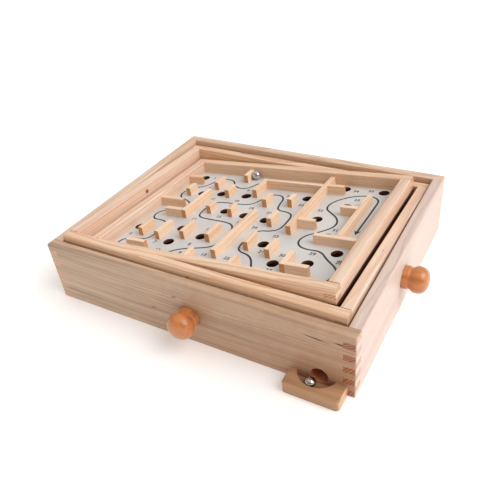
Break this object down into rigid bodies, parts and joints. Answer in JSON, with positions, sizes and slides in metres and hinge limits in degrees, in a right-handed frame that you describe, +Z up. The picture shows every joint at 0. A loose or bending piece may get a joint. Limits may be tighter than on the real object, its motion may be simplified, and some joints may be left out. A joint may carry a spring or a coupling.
{
  "type": "tilt maze game",
  "caption": "Wooden box with two nested rocking frames and a holed maze board; side knobs tilt the board so that a steel ball can be steered past the holes.",
  "frame": {"origin": "middle of the footprint, knobs included, on the surface that the box stands on", "axes": "+X to the player's right, +Y away from the player, +Z up; the long knob-side face is at -Y"},
  "size_m": [0.3768, 0.3118, 0.0915],
  "materials": {
    "pine_box": "satin lacquered pine, pale, fine straight grain",
    "pine_frame": "satin pine rails, rounded edges",
    "pine_strip": "satin pine strips",
    "beech_knob": "gloss lacquered turned beech",
    "plywood": "matt birch plywood",
    "printed_sheet": "matt pale grey printed sheet",
    "steel": "bright drawn steel",
    "ball_chrome": "polished steel ball",
    "cord": "thin twisted cord"
  },
  "bodies": {
    "box": {"front_wall": "pine_box", "back_wall": "pine_box", "left_wall": "pine_box", "right_wall": "pine_box", "floor_panel": "plywood", "catch_tray": "pine_box", "frame_pivot_pins": "steel"},
    "rocking_frame": {"frame_front_rail": "pine_frame", "frame_back_rail": "pine_frame", "frame_left_rail": "pine_frame", "frame_right_rail": "pine_frame", "board_pivot_pins": "steel", "frame_screw_eyes": "steel", "frame_cord": "cord", "frame_cord_spring": "steel"},
    "board": {"maze_board": "plywood", "printed_sheet": "printed_sheet", "board_front_rail": "pine_frame", "board_back_rail": "pine_frame", "board_left_rail": "pine_frame", "board_right_rail": "pine_frame", "board_screw_eyes": "steel", "centre_wall": "pine_strip", "corner_wall": "pine_strip", "goal_wall": "pine_strip", "hook_wall": "pine_strip", "ledge_wall_1": "pine_strip", "ledge_wall_2": "pine_strip", "short_wall_1": "pine_strip", "short_wall_2": "pine_strip", "short_wall_3": "pine_strip", "short_wall_4": "pine_strip", "short_wall_5": "pine_strip", "short_wall_6": "pine_strip", "short_wall_7": "pine_strip", "short_wall_8": "pine_strip", "short_wall_9": "pine_strip", "short_wall_10": "pine_strip", "short_wall_11": "pine_strip", "short_wall_12": "pine_strip", "short_wall_13": "pine_strip", "short_wall_14": "pine_strip", "short_wall_15": "pine_strip", "short_wall_16": "pine_strip", "short_wall_17": "pine_strip", "short_wall_18": "pine_strip", "start_wall": "pine_strip", "board_cord": "cord", "board_cord_spring": "steel"},
    "right_control": {"right_knob": "beech_knob", "right_rod": "steel", "right_rod_clip": "steel", "frame_cord_winding": "cord"},
    "front_control": {"front_knob": "beech_knob", "front_rod": "steel", "front_rod_clip": "steel", "board_cord_winding": "cord"},
    "maze_ball": {"maze_ball": "ball_chrome"},
    "tray_ball": {"tray_ball": "ball_chrome"}
  },
  "joints": [
    {"name": "frame_tilt", "type": "hinge", "parent": "box", "child": "rocking_frame", "pos_m": [-0.01265, 0.01265, 0.0641], "axis": [1, 0, 0], "range_deg": [-3.2, 8.8], "deforming": ["frame_cord", "frame_cord_spring"]},
    {"name": "board_tilt", "type": "hinge", "parent": "rocking_frame", "child": "board", "pos_m": [-0.01265, 0.01265, 0.0641], "axis": [0, 0.9988, -0.0488], "range_deg": [-0.1, 10.6], "deforming": ["board_cord", "board_cord_spring"]},
    {"name": "right_knob_turn", "type": "hinge", "parent": "box", "child": "right_control", "pos_m": [0.1631, 0.00365, 0.037], "axis": [1, 0, 0], "range_deg": [-49.8, 136.1]},
    {"name": "front_knob_turn", "type": "hinge", "parent": "box", "child": "front_control", "pos_m": [-0.00765, -0.1306, 0.0337], "axis": [0, 1, 0], "range_deg": [-2.2, 180.8]},
    {"name": "maze_ball_roll", "type": "slide", "parent": "board", "child": "maze_ball", "axis": [0.9958, 0.0045, 0.0914], "range_m": [0, 0.095]},
    {"name": "tray_ball_roll", "type": "slide", "parent": "box", "child": "tray_ball", "axis": [1, 0, 0], "range_m": [-0.002, 0.007]}
  ],
  "couplings": [
    {"joint": "right_knob_turn", "follows": "frame_tilt", "ratio": 15.41},
    {"joint": "front_knob_turn", "follows": "board_tilt", "ratio": 17.01}
  ]
}
